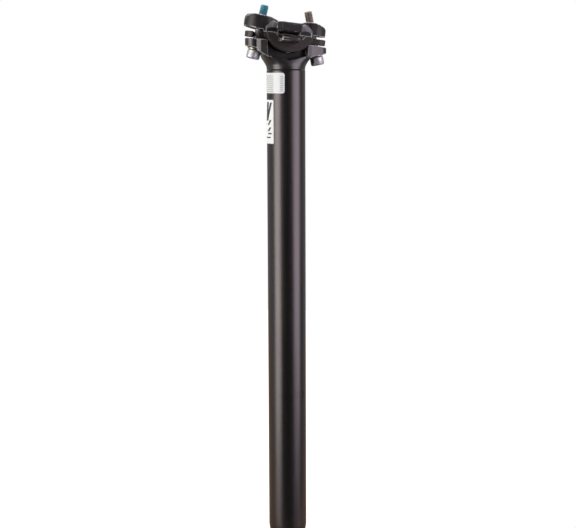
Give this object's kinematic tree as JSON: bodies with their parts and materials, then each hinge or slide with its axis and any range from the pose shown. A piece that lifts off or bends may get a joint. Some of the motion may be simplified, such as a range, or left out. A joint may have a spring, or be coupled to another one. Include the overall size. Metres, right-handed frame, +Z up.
{
  "type": "bicycle seatpost",
  "caption": "Rigid round bicycle seatpost with a forged head, a tilting lower clamp, an upper rail clamp and angled socket-head bolts with swivelling nuts.",
  "frame": {"origin": "centre of the tube's foot, on the tube's axis", "axes": "+Z up along the tube, +X towards the bicycle's front, +Y to its left"},
  "size_m": [0.0589, 0.053, 0.3822],
  "materials": {
    "post_tube": "black anodised, satin, finely speckled",
    "head_forging": "black anodised forging, satin",
    "lower_clamp": "matte brownish black",
    "upper_clamp": "satin black with rubbed bright edges",
    "rear_bolt": "bright zinc plated",
    "front_bolt": "bright zinc plated",
    "rear_barrel_nut": "bright zinc plated",
    "front_barrel_nut": "bright zinc plated",
    "rear_ball_washer": "yellow passivated",
    "front_ball_washer": "yellow passivated",
    "rear_thread_patch": "dry blue thread-lock film",
    "spec_label": "white printed film",
    "plain_decal": "white film with plain bars"
  },
  "bodies": {
    "post": {"post_tube": "post_tube", "head_forging": "head_forging", "spec_label": "spec_label", "plain_decal": "plain_decal"},
    "lower_clamp": {"lower_clamp": "lower_clamp"},
    "upper_clamp": {"upper_clamp": "upper_clamp"},
    "rear_nut": {"rear_barrel_nut": "rear_barrel_nut"},
    "front_nut": {"front_barrel_nut": "front_barrel_nut"},
    "rear_washer": {"rear_ball_washer": "rear_ball_washer"},
    "front_washer": {"front_ball_washer": "front_ball_washer"},
    "rear_bolt": {"rear_bolt": "rear_bolt", "rear_thread_patch": "rear_thread_patch"},
    "front_bolt": {"front_bolt": "front_bolt"}
  },
  "joints": [
    {"name": "rear_bolt_swing", "type": "hinge", "parent": "post", "child": "rear_washer", "pos_m": [-0.02383, 0, 0.34561], "axis": [0, 1, 0], "range_deg": [-0.93, 0]},
    {"name": "rear_bolt_turn", "type": "hinge", "parent": "rear_washer", "child": "rear_bolt", "pos_m": [-0.02255, 0, 0.3507], "axis": [0.2436, 0, 0.9699], "range_deg": [-236, 236]},
    {"name": "clamp_tilt", "type": "hinge", "parent": "post", "child": "lower_clamp", "pos_m": [0.0006, 0, 0.367], "axis": [0, 1, 0], "range_deg": [-2, 2]},
    {"name": "jaw_lift", "type": "slide", "parent": "lower_clamp", "child": "upper_clamp", "axis": [0.1219, 0, 0.9925], "range_m": [0, 0.003]},
    {"name": "front_bolt_swing", "type": "hinge", "parent": "post", "child": "front_washer", "pos_m": [0.02298, 0, 0.34095], "axis": [0, 1, 0], "range_deg": [0, 2.28]},
    {"name": "front_bolt_turn", "type": "hinge", "parent": "front_washer", "child": "front_bolt", "pos_m": [0.022, 0, 0.3461], "axis": [-0.1874, 0, 0.9823], "range_deg": [-236, 236]},
    {"name": "rear_nut_swivel", "type": "hinge", "parent": "upper_clamp", "child": "rear_nut", "pos_m": [-0.01786, 0, 0.36937], "axis": [0, 1, 0], "range_deg": [-2.05, 2.05]},
    {"name": "front_nut_swivel", "type": "hinge", "parent": "upper_clamp", "child": "front_nut", "pos_m": [0.01841, 0, 0.36491], "axis": [0, 1, 0], "range_deg": [-2.05, 2.05]}
  ],
  "couplings": [
    {"joint": "rear_bolt_turn", "follows": "clamp_tilt", "ratio": -116.12},
    {"joint": "front_bolt_turn", "follows": "clamp_tilt", "ratio": 107.47},
    {"joint": "rear_nut_swivel", "follows": "clamp_tilt", "ratio": -1},
    {"joint": "front_nut_swivel", "follows": "clamp_tilt", "ratio": -1},
    {"joint": "rear_bolt_swing", "follows": "jaw_lift", "rad_per_m": -5.0465},
    {"joint": "front_bolt_swing", "follows": "jaw_lift", "rad_per_m": 12.53}
  ]
}
